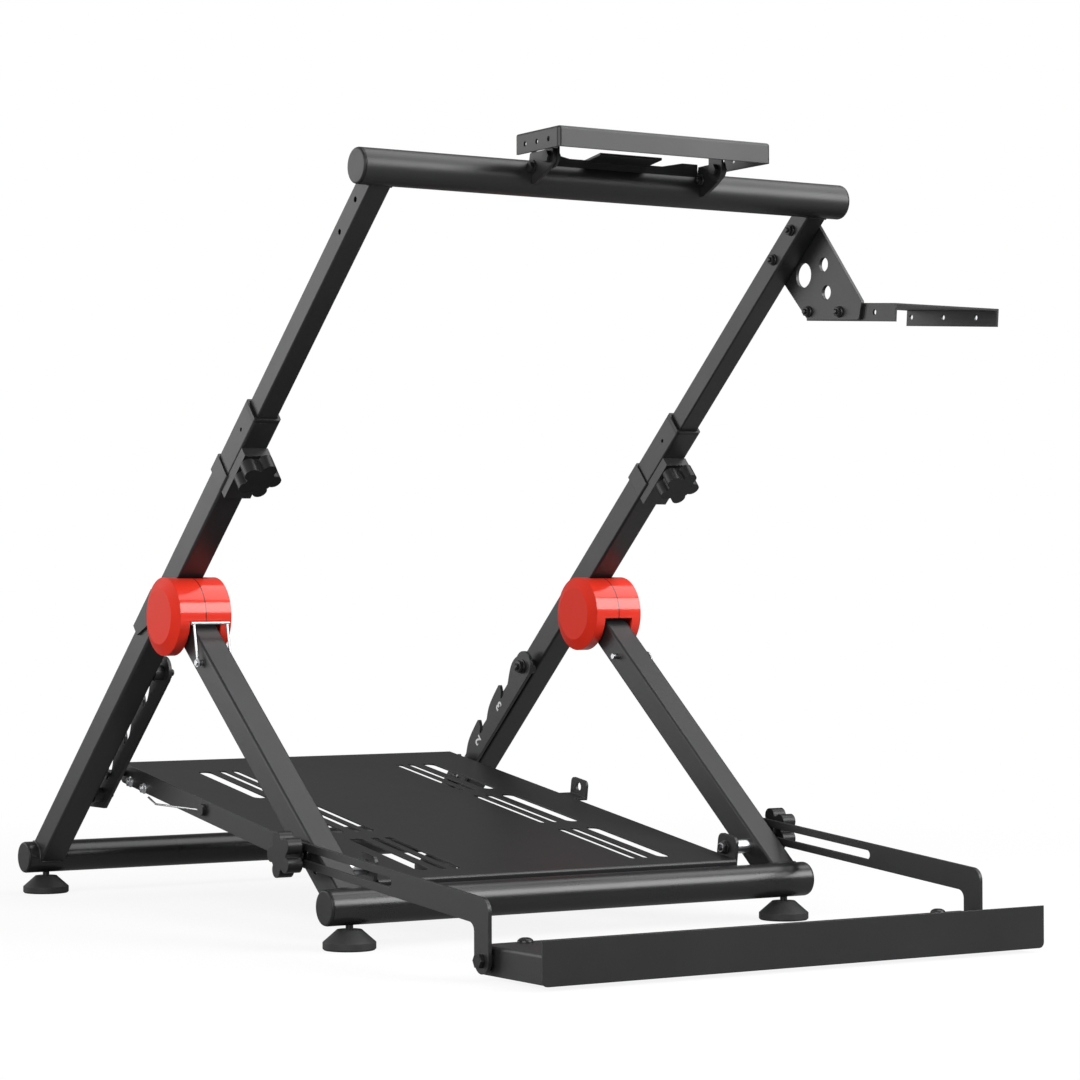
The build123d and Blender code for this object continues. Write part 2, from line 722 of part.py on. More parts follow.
# Pedal plate: slotted sheet with a flange down each side and its front edge turned down
slots = ((slot_inner_in, slot_narrow), (slot_mid_in, slot_narrow), (slot_wide_in, slot_wide))
with BuildPart() as pedal_plate:
    with BuildSketch(on_plate(0, 0, -plate_drop - plate_sheet)):
        with Locations((0, (plate_front + plate_rear) / 2)):
            Rectangle(2 * plate_half, plate_rear - plate_front)
    extrude(amount=plate_sheet)
    with BuildSketch(on_plate(0, 0, -plate_drop - plate_lip)):
        with Locations((0, plate_front + plate_sheet / 2)):
            Rectangle(2 * plate_half, plate_sheet)
    extrude(amount=plate_lip)
    outer_bend = on_plate(0, plate_front, -plate_drop).origin
    fillet(pedal_plate.edges().filter_by(Axis.X).sort_by_distance(outer_bend)[0], radius=plate_bend)
    inner_bend = on_plate(0, plate_front + plate_sheet, -plate_drop - plate_sheet).origin
    inner_edge = pedal_plate.edges().filter_by(Axis.X).sort_by_distance(inner_bend)[0]
    fillet(inner_edge, radius=plate_bend - plate_sheet)
    for side_name, side in sides:
        with BuildSketch(beside_plate(side * (plate_half - plate_sheet / 2))):
            with BuildLine():
                Polyline(
                    (plate_front, -plate_drop - plate_sheet),
                    (flange_start, -plate_drop - flange_depth),
                    (rod_along, -plate_drop - flange_depth),
                )
                ThreePointArc(
                    (rod_along, -plate_drop - flange_depth),
                    (rod_along + 2 * plate_tail, -rod_drop - rod_r * 1.5),
                    (plate_rear, -plate_drop - plate_sheet),
                )
                Line((plate_rear, -plate_drop - plate_sheet), (plate_front, -plate_drop - plate_sheet))
            make_face()
        extrude(amount=plate_sheet / 2, both=True)
        with BuildSketch(beside_plate(side * plate_half)):
            with Locations((rod_along, -rod_drop)):
                Circle(rod_r)
            with Locations((0, 0)):
                Circle(pivot_r + run)
        extrude(amount=4 * plate_sheet, both=True, mode=Mode.SUBTRACT)
        with BuildSketch(on_plate(0, 0, -plate_drop)):
            for row in range(slot_rows):
                for inset, width in slots:
                    with Locations((side * (plate_half - inset), slot_first + row * slot_pitch)):
                        SlotOverall(slot_length, width, rotation=90)
        extrude(amount=2 * plate_sheet, both=True, mode=Mode.SUBTRACT)
    with BuildSketch(beside_plate(-plate_half)):
        with Locations((flange_pin_along, -flange_pin_drop)):
            Circle(flange_pin_r)
    extrude(amount=2 * plate_sheet, both=True, mode=Mode.SUBTRACT)
pedal_plate.part.label = "pedal_plate"
export_step(pedal_plate.part, "parts/pedal_plate.step")

# Front ears that carry the plate on its pivot pins
with BuildPart() as pedal_front_ears:
    for side_name, side in sides:
        with BuildSketch(beside_plate(side * (plate_half + ear_sheet / 2))):
            with Locations(((ear_back - ear_front) / 2, (ear_high - ear_tail) / 2)):
                Rectangle(ear_front + ear_back, ear_high + ear_tail)
            fillet(vertices().group_by(Axis.Y)[-1], radius=ear_corner)
            Circle(pivot_r + run, mode=Mode.SUBTRACT)
        extrude(amount=ear_sheet / 2, both=True)
pedal_front_ears.part.label = "pedal_front_ears"
export_step(pedal_front_ears.part, "parts/pedal_front_ears.step")

# Upright ear on a flat foot, halfway along the right edge of the plate
with BuildPart() as pedal_mid_ear:
    with BuildSketch(on_plate(plate_half + mid_ear_foot / 2, mid_ear_along, -plate_drop - mid_ear_sheet)):
        Rectangle(mid_ear_foot, mid_ear_long)
    extrude(amount=mid_ear_sheet)
    with BuildSketch(beside_plate(plate_half + mid_ear_foot - mid_ear_sheet / 2)):
        with Locations((mid_ear_along, -plate_drop + (mid_ear_tall - mid_ear_sheet) / 2)):
            Rectangle(mid_ear_long, mid_ear_tall + mid_ear_sheet)
        fillet(vertices().group_by(Axis.Y)[-1], radius=mid_ear_corner)
        with Locations((mid_ear_along, -plate_drop + mid_ear_hole_up)):
            Circle(mid_ear_hole_r, mode=Mode.SUBTRACT)
    extrude(amount=mid_ear_sheet / 2, both=True)
pedal_mid_ear.part.label = "pedal_mid_ear"
export_step(pedal_mid_ear.part, "parts/pedal_mid_ear.step")

# Rod at the rear of the plate that rests in the notches
with BuildPart() as rest_rod:
    with BuildSketch(crosswise(0, rod_y, rod_z)):
        Circle(rod_r)
    extrude(amount=rod_half, both=True)
rest_rod.part.label = "rest_rod"
export_step(rest_rod.part, "parts/rest_rod.step")

# Pin on the left flange with its stiff wire hook
with BuildPart() as plate_pin:
    with BuildSketch(beside_plate(-plate_half)):
        with Locations((flange_pin_along, -flange_pin_drop)):
            Circle(flange_pin_head_r)
    extrude(amount=-flange_pin_head)
    with BuildSketch(beside_plate(-plate_half + plate_sheet + flange_pin_head)):
        with Locations((flange_pin_along, -flange_pin_drop)):
            Circle(flange_pin_r)
    extrude(amount=-plate_sheet - flange_pin_head)
    wire_x = -plate_half - flange_pin_head * 0.6
    wire_plane = beside_plate(wire_x)
    with BuildLine(wire_plane):
        Polyline(
            (flange_pin_along, -flange_pin_drop),
            (flange_pin_along + hook_reach * 0.85, -flange_pin_drop - hook_drop),
            (flange_pin_along + hook_reach, -flange_pin_drop - hook_drop * 0.78),
        )
    with BuildSketch(on_plate(wire_x, flange_pin_along, -flange_pin_drop).rotated((-90, 0, 0))):
        Circle(hook_wire_r)
    sweep(transition=Transition.ROUND)
plate_pin.part.label = "plate_pin"
export_step(plate_pin.part, "parts/plate_pin.step")

# Telescopic inner tubes
leg_bolts = [(leg_total - leg_bolt_first - step * leg_bolt_pitch, 0) for step in range(2)]
for side_name, side in sides:
    with BuildPart() as inner_leg:
        with BuildSketch(across_leg(side, inner_bottom)):
            RectangleRounded(inner_size, inner_size, leg_corner - 1)
            Rectangle(inner_size - 2 * inner_wall, inner_size - 2 * inner_wall, mode=Mode.SUBTRACT)
        extrude(amount=leg_total - inner_bottom)
        with BuildSketch(crosswise(side * leg_x, bar_y, bar_height)):
            Circle(tube_r)
        extrude(amount=leg_size, both=True, mode=Mode.SUBTRACT)
        with BuildSketch(beside_leg(side * leg_x)):
            with Locations(*leg_bolts):
                Circle(shelf_hole_r)
        extrude(amount=leg_size, both=True, mode=Mode.SUBTRACT)
    inner_leg.part.label = f"inner_leg_{side_name}"
    export_step(inner_leg.part, f"parts/inner_leg_{side_name}.step")

# Bracket welded on the crossbar: two ears, a web with a scalloped upper edge and a tongue
with BuildPart() as wheel_bracket:
    for side_name, side in sides:
        with BuildSketch(crosswise(side * (ear_x + ear_sheet / 2), 0, 0)):
            with BuildLine():
                Polyline(
                    (web_y, bar_height + bracket_nose),
                    (web_y - ear_sheet, tilt_height + ear_top),
                    (tilt_y - bracket_nose, tilt_height + bracket_nose),
                )
                ThreePointArc(
                    (tilt_y - bracket_nose, tilt_height + bracket_nose),
                    (tilt_y - bracket_nose * 1.4, tilt_height),
                    (tilt_y - bracket_nose, tilt_height - bracket_nose),
                )
                Polyline(
                    (tilt_y - bracket_nose, tilt_height - bracket_nose),
                    (tilt_y + tilt_ahead * 0.16, bar_height),
                    (tilt_y + tilt_ahead * 0.52, bar_height - bracket_nose),
                    (bar_y, bar_height - bracket_nose),
                    (web_y, bar_height + bracket_nose),
                )
            make_face()
            with Locations((tilt_y, tilt_height)):
                Circle(tilt_r + run, mode=Mode.SUBTRACT)
        extrude(amount=ear_sheet / 2, both=True)
    with BuildSketch(Plane((0, web_y, 0), x_dir=(1, 0, 0), z_dir=(0, -1, 0))):
        with BuildLine():
            Polyline(
                (-ear_x, bar_height),
                (-ear_x, tilt_height + web_high),
                (-ear_x + web_shoulder, tilt_height + web_high),
                (-tongue_half - web_shoulder, tilt_height + web_low),
                (tongue_half + web_shoulder, tilt_height + web_low),
                (ear_x - web_shoulder, tilt_height + web_high),
                (ear_x, tilt_height + web_high),
                (ear_x, bar_height),
                close=True,
            )
        make_face()
    extrude(amount=wheel_sheet)
    with BuildSketch(crosswise(0, web_y, tilt_height + web_low)):
        with BuildLine():
            Polyline(
                (0, 0),
                (-tongue_reach, tongue_rise),
                (-tongue_reach, tongue_rise - wheel_sheet),
                (0, -wheel_sheet),
                close=True,
            )
        make_face()
    extrude(amount=tongue_half, both=True)
    with BuildSketch(crosswise(0, bar_y, bar_height)):
        Circle(tube_r)
    extrude(amount=tube_length, both=True, mode=Mode.SUBTRACT)
wheel_bracket.part.label = "wheel_bracket"
export_step(wheel_bracket.part, "parts/wheel_bracket.step")

# Wheel plate: a shallow tray, open at the rear, with two lugs on the bracket's bolts
first_hole = wheel_rear - wheel_hole_ahead
wheel_hole_z = wheel_top - wheel_hole_drop
wheel_holes = [(first_hole - step * wheel_hole_pitch, wheel_hole_z) for step in range(3)]
with BuildPart() as wheel_plate:
    with BuildSketch(Plane((0, 0, wheel_top - wheel_lip))):
        with Locations((0, (wheel_front + wheel_rear) / 2)):
            Rectangle(2 * wheel_half, wheel_rear - wheel_front)
    extrude(amount=wheel_lip)
    fillet(wheel_plate.edges().filter_by(Axis.Z).group_by(Axis.Y)[0], radius=4)
    fillet(wheel_plate.faces().sort_by(Axis.Z)[-1].edges().filter_by(Axis.Y), radius=3)
    with BuildSketch(Plane((0, 0, wheel_top - wheel_lip))):
        with Locations((0, (wheel_front + wheel_rear) / 2 + wheel_sheet)):
            Rectangle(2 * (wheel_half - wheel_sheet), wheel_rear - wheel_front)
    extrude(amount=wheel_lip - wheel_sheet, mode=Mode.SUBTRACT)
    with BuildSketch(crosswise(0, 0, 0)):
        with Locations(*wheel_holes):
            Circle(wheel_hole_r)
    extrude(amount=wheel_half, both=True, mode=Mode.SUBTRACT)
    for side_name, side in sides:
        with BuildSketch(crosswise(side * (ear_x - slip - wheel_sheet / 2), tilt_y, tilt_height)):
            Circle(tilt_lug_r)
            with Locations((0, (wheel_top - wheel_sheet - tilt_height) / 2)):
                Rectangle(2 * tilt_lug_r, wheel_top - wheel_sheet - tilt_height)
            Circle(tilt_r, mode=Mode.SUBTRACT)
        extrude(amount=wheel_sheet / 2, both=True)
wheel_plate.part.label = "wheel_plate"
export_step(wheel_plate.part, "parts/wheel_plate.step")

# Pivot bolts of the wheel plate
with BuildPart() as wheel_pivot_bolts:
    for side_name, side in sides:
        with BuildSketch(crosswise(side * (ear_x - slip - wheel_sheet - tilt_nut), tilt_y, tilt_height)):
            Circle(tilt_r)
        extrude(amount=side * (ear_sheet + slip * 2 + wheel_sheet + tilt_nut))
        with BuildSketch(crosswise(side * (ear_x + ear_sheet + slip), tilt_y, tilt_height)):
            RegularPolygon(tilt_head_r, 6)
        extrude(amount=side * tilt_head)
        with BuildSketch(crosswise(side * (ear_x - slip - wheel_sheet), tilt_y, tilt_height)):
            RegularPolygon(tilt_head_r, 6)
        extrude(amount=-side * tilt_nut)
wheel_pivot_bolts.part.label = "wheel_pivot_bolts"
export_step(wheel_pivot_bolts.part, "parts/wheel_pivot_bolts.step")

# Shifter support: gusset on the inner tube and a channel-shaped shelf
gusset_x = leg_x + inner_size / 2
shelf_x = gusset_x + gusset_sheet
with BuildPart() as shifter_gusset:
    with BuildSketch(beside_leg(gusset_x + gusset_sheet / 2)):
        with BuildLine():
            Polyline(
                (leg_total - gusset_head, gusset_back),
                (leg_total - gusset_head - gusset_sheet, -gusset_reach),
                (leg_total - leg_bolt_first - gusset_sheet, -gusset_chin),
                (leg_total - gusset_foot + gusset_sheet, -gusset_heel),
                (leg_total - gusset_foot, gusset_back),
                close=True,
            )
        make_face()
        fillet(vertices(), radius=gusset_sheet)
        with Locations((leg_total - gusset_hole_down, -gusset_hole_out)):
            Circle(gusset_hole_r, mode=Mode.SUBTRACT)
        for down, out in zip(gusset_small_down, gusset_small_out):
            with Locations((leg_total - down, -out)):
                Circle(gusset_small_r, mode=Mode.SUBTRACT)
    extrude(amount=gusset_sheet / 2, both=True)
shifter_gusset.part.label = "shifter_gusset"
export_step(shifter_gusset.part, "parts/shifter_gusset.step")

shelf_origin = across_leg(1, leg_total - shelf_down, -shelf_out).origin
shelf_plane = Plane(
    origin=(shelf_x, shelf_origin.Y, shelf_origin.Z),
    x_dir=(1, 0, 0),
    z_dir=(0, -sin(radians(shelf_slope)), cos(radians(shelf_slope))),
)
with BuildPart() as shifter_shelf:
    with BuildSketch(shelf_plane.offset(-shelf_flange / 2)):
        with Locations((shelf_wide / 2, shelf_heel - shelf_long / 2)):
            Rectangle(shelf_wide, shelf_long)
    extrude(amount=shelf_flange)
    with BuildSketch(shelf_plane.offset(-shelf_flange / 2)):
        with Locations((shelf_wide / 2, shelf_heel - shelf_long / 2)):
            Rectangle(shelf_wide - 2 * shelf_sheet, shelf_long)
    extrude(amount=shelf_flange - shelf_sheet, mode=Mode.SUBTRACT)
    with BuildSketch(Plane(shelf_plane.origin, x_dir=shelf_plane.y_dir, z_dir=(1, 0, 0))):
        with Locations(*[(-step * shelf_pitch, 0) for step in range(3)]):
            Circle(shelf_hole_r)
    extrude(amount=shelf_wide, mode=Mode.SUBTRACT)
shifter_shelf.part.label = "shifter_shelf"
export_step(shifter_shelf.part, "parts/shifter_shelf.step")

# Chair stop arms: slotted strips bent down at the front
for side_name, side in sides:
    with BuildPart() as chair_arm:
        arm_plane = Plane(
            origin=(side * (arm_x + arm_sheet / 2), arm_y, arm_z),
            x_dir=(0, arm_cos, arm_sin),
            z_dir=(1, 0, 0),
        )
        with BuildSketch(arm_plane):
            with Locations(((arm_tail - arm_reach) / 2, 0)):
                Rectangle(arm_reach + arm_tail, arm_high)
            with Locations((-arm_reach, 0)):
                Circle(arm_high / 2)
            with Locations(((arm_slot - arm_slot_front) / 2, 0)):
                SlotOverall(arm_slot_front + arm_slot, arm_slot, mode=Mode.SUBTRACT)
        extrude(amount=arm_sheet / 2, both=True)
        with BuildSketch(crosswise(side * (arm_x + arm_sheet / 2), bend_y, bar_pivot_height)):
            Circle(arm_high / 2)
            with Locations((0, (bend_z - bar_pivot_height) / 2)):
                Rectangle(arm_high, bend_z - bar_pivot_height)
        extrude(amount=arm_sheet / 2, both=True)
        bend_corner = (side * (arm_x + arm_sheet / 2), bend_y + arm_high / 2, bend_z - arm_high / 2)
        fillet(chair_arm.edges().filter_by(Axis.X).sort_by_distance(bend_corner)[0], radius=arm_bend_r)
        with BuildSketch(crosswise(side * (arm_x + arm_sheet / 2), bend_y, bar_pivot_height)):
            Circle(bar_pivot_r + run)
        extrude(amount=arm_sheet, both=True, mode=Mode.SUBTRACT)
    chair_arm.part.label = f"chair_arm_{side_name}"
    export_step(chair_arm.part, f"parts/chair_arm_{side_name}.step")

# Chair stop bar: a tray between the arms and an upright lip at its front
with BuildPart() as chair_bar:
    with BuildSketch(Plane((0, 0, tray_low))):
        with Locations((0, (tray_rear + tray_front) / 2)):
            Rectangle(2 * tray_half, tray_rear - tray_front)
    extrude(amount=tray_top - tray_low)
    fillet(chair_bar.faces().sort_by(Axis.Z)[-1].edges().filter_by(Axis.Y), radius=tray_roll)
    with BuildSketch(Plane((0, 0, tray_low))):
        with Locations((0, (tray_rear + tray_front) / 2)):
            Rectangle(2 * (tray_half - tray_sheet), tray_rear - tray_front)
    extrude(amount=tray_top - tray_low - tray_sheet, mode=Mode.SUBTRACT)
    with BuildSketch(crosswise(0, bend_y, bar_pivot_height)):
        Circle(bar_pivot_r)
    extrude(amount=tray_half, both=True, mode=Mode.SUBTRACT)
chair_bar.part.label = "chair_bar"
export_step(chair_bar.part, "parts/chair_bar.step")

with BuildPart() as chair_bar_lip:
    with BuildSketch(Plane((0, tray_front, 0), x_dir=(1, 0, 0), z_dir=(0, -1, 0))):
        with Locations((0, (tray_low + stop_high) / 2)):
            Rectangle(2 * stop_half, stop_high - tray_low)
        fillet(vertices().group_by(Axis.Y)[0], radius=stop_corner)
    extrude(amount=tray_sheet)
chair_bar_lip.part.label = "chair_bar_lip"
export_step(chair_bar_lip.part, "parts/chair_bar_lip.step")

with BuildPart() as chair_bar_bolts:
    for side_name, side in sides:
        start = tray_half - tray_sheet - bar_head
        with BuildSketch(crosswise(side * start, bend_y, bar_pivot_height)):
            Circle(bar_pivot_r)
        extrude(amount=side * (arm_x + arm_sheet + slip - start))
        with BuildSketch(crosswise(side * (arm_x + arm_sheet + slip), bend_y, bar_pivot_height)):
            RegularPolygon(bar_head_r, 6)
        extrude(amount=side * bar_head)
        with BuildSketch(crosswise(side * tray_half, bend_y, bar_pivot_height)):
            Circle(bar_washer_r)
        extrude(amount=side * (arm_x - slip - tray_half))
        with BuildSketch(crosswise(side * (tray_half - tray_sheet), bend_y, bar_pivot_height)):
            RegularPolygon(bar_head_r, 6)
        extrude(amount=-side * bar_head)
chair_bar_bolts.part.label = "chair_bar_bolts"
export_step(chair_bar_bolts.part, "parts/chair_bar_bolts.step")

# Star knobs: five lobes, a short neck and the screw
knob_seats = {}
for side_name, side in sides:
    seat = across_leg(side, leg_knob_along, -leg_size / 2 - boss_depth - slip)
    knob_seats[f"leg_knob_{side_name}"] = (
        Plane(seat.origin, x_dir=(1, 0, 0), z_dir=-seat.y_dir),
        leg_size / 2 + boss_depth + slip - inner_size / 2 - slip,
    )
    knob_seats[f"arm_knob_{side_name}"] = (
        Plane((side * (arm_x + arm_sheet + slip), arm_y, arm_z), x_dir=(0, 1, 0), z_dir=(side, 0, 0)),
        arm_sheet + slip + arm_gap + leg_wall,
    )
for knob_name, (seat, screw_length) in knob_seats.items():
    with BuildPart() as star_knob:
        with BuildSketch(seat.offset(knob_neck)):
            Circle(knob_r - lobe_r)
            with PolarLocations(knob_r - lobe_r, knob_lobes):
                Circle(lobe_r)
        extrude(amount=knob_thick)
        with BuildSketch(seat):
            Circle(knob_neck_r)
        extrude(amount=knob_neck)
        with BuildSketch(seat):
            Circle(screw_r)
        extrude(amount=-screw_length)
    star_knob.part.label = knob_name
    export_step(star_knob.part, f"parts/{knob_name}.step")
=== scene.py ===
import json
import math

import bmesh
import bpy
from mathutils import Matrix, Vector


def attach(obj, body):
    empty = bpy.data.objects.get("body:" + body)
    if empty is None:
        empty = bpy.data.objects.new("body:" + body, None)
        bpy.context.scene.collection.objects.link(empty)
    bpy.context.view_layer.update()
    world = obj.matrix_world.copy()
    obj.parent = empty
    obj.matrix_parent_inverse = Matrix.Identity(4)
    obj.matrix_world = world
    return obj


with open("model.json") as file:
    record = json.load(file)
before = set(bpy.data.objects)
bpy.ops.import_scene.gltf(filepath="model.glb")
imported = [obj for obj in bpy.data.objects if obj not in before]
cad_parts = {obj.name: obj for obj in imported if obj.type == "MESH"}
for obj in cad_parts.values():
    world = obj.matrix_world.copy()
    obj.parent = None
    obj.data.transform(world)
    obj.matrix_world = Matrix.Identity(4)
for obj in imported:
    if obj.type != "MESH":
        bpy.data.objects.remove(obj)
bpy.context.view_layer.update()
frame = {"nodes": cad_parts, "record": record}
nodes = frame["nodes"]
scene = bpy.context.scene

# Places on the stand, in metres, as in the part's source

RIGHT, LEFT, UP = Vector((1, 0, 0)), Vector((-1, 0, 0)), Vector((0, 0, 1))
REAR_TUBE = Vector((0, 0.385, 0.0443))
FRONT_TUBE = Vector((0, -0.385, 0.0443))
CROSSBAR = Vector((0, -0.455, 0.8005))
TUBE_R = 0.019
LEG_X = 0.2775
LEG_HALF = 0.016
INNER_HALF = 0.0125
LEG_LONG = (CROSSBAR - REAR_TUBE).length
LEG_UP = (CROSSBAR - REAR_TUBE).normalized()
LEG_BACK = Vector((0, LEG_UP.z, -LEG_UP.y))
HUB = REAR_TUBE + LEG_UP * 0.493 - LEG_BACK * 0.044
SHORT_UP = (HUB - FRONT_TUBE).normalized()
PIVOT = FRONT_TUBE + SHORT_UP * 0.0575
LOCK = HUB - SHORT_UP * 0.082
LOCK_HALF = 0.0205
PLATE_EDGE = 0.230
HOOK_PIN = Vector((-PLATE_EDGE, 0.0478, 0.1181))
NOTCH_X = 0.246
SEATS = (0.1615, 0.2295, 0.2975)

# Bolts: where they sit

SEAT_NUTS = (SEATS[2] + 0.056, SEATS[0] - 0.033)  # along the leg
SEAT_NUT_OFF = -0.008
FLANGE_BOLTS = ((0.243, 0.141), (0.205, 0.135))  # back and up
BRACKET_BOLT = Vector((0, -0.475, 0.810))
BRACKET_INSIDE, BRACKET_OUTSIDE = 0.105, 0.109
TRAY_SCREW = Vector((0, -0.687, 0.033))
TRAY_SCREW_X = 0.253
GUSSET_BOLTS = (0.045, 0.090)  # below the upper end of the leg
GUSSET_SHEET, SHELF_SHEET = 0.004, 0.0025
SHELF_BOLT_DOWN, SHELF_BOLT_OFF = 0.1061, -0.0656
SHELF_PITCH = 0.057
SHELF_SLOPE = math.radians(4.4)

# Nuts: width across the flats, height, radius of the bolt and how far it shows

SEAT_NUT = (0.014, 0.007, 0.004, 0.004)
FLANGE_NUT = (0.010, 0.0048, 0.003, 0.002)
BRACKET_NUT = (0.010, 0.005, 0.003, 0.002)
PIVOT_NUT = (0.0125, 0.0055, 0.004, 0.003)
GUSSET_NUT = (0.010, 0.005, 0.003, 0.003)


def on_leg(x, along, off=0.0):
    """A point beside the long legs: along them from the rear tube, and out of their rear faces."""
    return Vector((x, 0, 0)) + REAR_TUBE + LEG_UP * along + LEG_BACK * off


def facing(at, outward, spin=0.0):
    """Matrix that sets a piece built on its own XY plane at a point, its Z outward."""
    turn = outward.to_track_quat("Z", "Y").to_matrix().to_4x4()
    return Matrix.Translation(at) @ turn @ Matrix.Rotation(spin, 4, "Z")


def axes(across, along, outward):
    """Matrix whose columns are three directions."""
    return Matrix((across, along, outward)).transposed().to_4x4()


# Shader wiring


class Wire:
    """A socket of a shader tree. Sums and products of wires add Math nodes."""

    def __init__(self, tree, socket=None):
        self.tree, self.socket = tree, socket

    def node(self, kind, settings=None, inputs=None, out=0):
        """Any other node: its settings first, then the values or wires of its sockets."""
        made = self.tree.nodes.new(kind)
        for key, value in (settings or {}).items():
            setattr(made, key, value)
        for key, value in (inputs or {}).items():
            if isinstance(value, Wire):
                self.tree.links.new(value.socket, made.inputs[key])
            else:
                made.inputs[key].default_value = value
        return Wire(self.tree, made.outputs[out] if made.outputs else None)

    def maths(self, operation, *values):
        return self.node("ShaderNodeMath", {"operation": operation}, dict(enumerate(values)))

    def __add__(self, other):
        return self.maths("ADD", self, other)

    def __sub__(self, other):
        return self.maths("SUBTRACT", self, other)

    def __rsub__(self, other):
        return self.maths("SUBTRACT", other, self)

    def __mul__(self, other):
        return self.maths("MULTIPLY", self, other)

    def __abs__(self):
        return self.maths("ABSOLUTE", self)

    __radd__ = __add__
    __rmul__ = __mul__


def object_place(start):
    """Object coordinates."""
    return start.node("ShaderNodeTexCoord", out="Object")


def ray(start, kind):
    """1 for rays of a kind, such as Camera, else 0."""
    return start.node("ShaderNodeLightPath", out=f"Is {kind} Ray")


def noise(place, scale, detail=2.0, rough=0.5, stretch=None):
    """Noise on coordinates, drawn out along an axis where stretch is given."""
    if stretch:
        place = place.node("ShaderNodeMapping", None, {"Vector": place, "Scale": stretch})
    inputs = {"Vector": place, "Scale": scale, "Detail": detail, "Roughness": rough}
    return place.node("ShaderNodeTexNoise", None, inputs, "Fac")


def ramp(value, low, high, one=0.0, other=1.0, shape="LINEAR"):
    """One value up to low, another from high on."""
    inputs = {0: value, 1: low, 2: high, 3: one, 4: other}
    return value.node("ShaderNodeMapRange", {"interpolation_type": shape}, inputs)


def vector_maths(place, operation, *others):
    """A number from vectors, such as a length."""
    inputs = dict(enumerate((place, *others)))
    return place.node("ShaderNodeVectorMath", {"operation": operation}, inputs, "Value")


def sideways(vector):
    """Size of a vector's X part."""
    return abs(vector.node("ShaderNodeSeparateXYZ", None, {0: vector}, "X"))


def between(share, one, other):
    """Mix of two colours, as values or wires, by a share from 0 to 1."""
    one, other = (colour if isinstance(colour, Wire) else (*colour, 1) for colour in (one, other))
    return share.node("ShaderNodeMix", {"data_type": "RGBA"}, {0: share, 6: one, 7: other}, 2)


def grey(level):
    return (level, level, level)


def rounded_bump(height, strength, depth, edge):
    """Surface grain on top of softly broken edges."""
    broken = height.node("ShaderNodeBevel", {"samples": 4}, {"Radius": edge})
    grain = {"Strength": strength, "Distance": depth, "Height": height, "Normal": broken}
    return height.node("ShaderNodeBump", None, grain)


def surface(colour, roughness, **more):
    """The shader of a finish; other sockets are named with _ for a space."""
    inputs = {"Base Color": colour, "Roughness": roughness}
    inputs.update({name.replace("_", " "): value for name, value in more.items()})
    return colour.node("ShaderNodeBsdfPrincipled", None, inputs)


def material(name, build):
    """A material from a function that wires up its shader."""
    made = bpy.data.materials.new(name)
    made.use_nodes = True
    made.node_tree.nodes.clear()
    start = Wire(made.node_tree)
    start.node("ShaderNodeOutputMaterial", None, {"Surface": build(start)})
    return made


def powder_coat(start, roughness=0.33):
    """Satin black powder coat: fine orange peel, faint clouds in the gloss, pale specks of dust."""
    place = object_place(start)
    peel = noise(place, 1300)
    cloud = noise(place, 11, 4, 0.6)
    dust = ramp(noise(place, 2600, 0), 0.72, 0.8)
    coat = between(cloud, (0.011, 0.011, 0.012), (0.017, 0.017, 0.018))
    return surface(
        between(dust * 0.3, coat, grey(0.06)),
        roughness + cloud * 0.12 + peel * 0.06,
        Normal=rounded_bump(peel, 0.16, 0.0002, 0.0008),
    )


def tube_coat(start):
    """The same coat on the floor tubes, where it flows out smoother."""
    return powder_coat(start, 0.20)


def hub_plastic(start):
    """Red moulded plastic: painted shade as a dark line along the seam between its half shells, the barrel
    glossier than the faces.
    """
    place = object_place(start)
    flow = noise(place, 26, 3, 0.5, (1, 0.4, 0.4))
    grain = noise(place, 1900, 1)
    # painted shade: a thin dark red line where the half shells meet, in place of the shadow in their gap
    seam_painted_shade = ramp(abs(sideways(place) - LEG_X), 0.0003, 0.0008, 1.0, 0.0)
    barrel = ramp(sideways(start.node("ShaderNodeNewGeometry", out="Normal")), 0.2, 0.6, 1.0, 0.0)
    red = between(flow, (0.72, 0.031, 0.014), (0.82, 0.037, 0.018))
    return surface(
        between(seam_painted_shade, red, (0.05, 0.002, 0.002)),
        0.30 + flow * 0.10 + grain * 0.05,
        Normal=rounded_bump(grain, 0.05, 0.0001, 0.0012),
        Specular_IOR_Level=0.08,
        Coat_Weight=barrel * 0.75,
        Coat_Roughness=0.12,
    )


def knob_plastic(start):
    """Black moulded plastic with a fine spark-eroded grain."""
    place = object_place(start)
    grain = noise(place, 2100)
    rub = noise(place, 60, 4)
    return surface(
        between(rub, (0.010, 0.010, 0.011), (0.018, 0.018, 0.019)),
        0.26 + rub * 0.12 + grain * 0.08,
        Normal=rounded_bump(grain, 0.22, 0.0002, 0.0014),
        Specular_IOR_Level=0.3,
    )


def foot_rubber(start):
    """Matt black rubber, a little dusty."""
    place = object_place(start)
    grain = noise(place, 1500, 3)
    dust = noise(place, 45, 5, 0.65)
    return surface(
        between(dust, grey(0.012), grey(0.026)),
        0.50 + dust * 0.25,
        Normal=rounded_bump(grain, 0.25, 0.0003, 0.001),
    )


def zinc_plate(start):
    """Bright zinc on turned steel: fine lathe lines and cloudy patches."""
    place = object_place(start)
    lines = noise(place, 900, 2, 0.5, (3, 0.5, 0.5))
    cloud = noise(place, 120, 3)
    return surface(
        between(cloud, (0.56, 0.57, 0.58), (0.70, 0.71, 0.73)),
        0.22 + cloud * 0.12 + lines * 0.08,
        Normal=rounded_bump(lines, 0.10, 0.0001, 0.0004),
        Metallic=1.0,
    )


def bright_wire(start):
    """Polished wire with faint drawing marks."""
    marks = noise(object_place(start), 700, 2, 0.5, (0.3, 2, 2))
    return surface(
        between(marks, (0.48, 0.49, 0.51), (0.60, 0.61, 0.62)),
        0.26 + marks * 0.12,
        Metallic=1.0,
    )


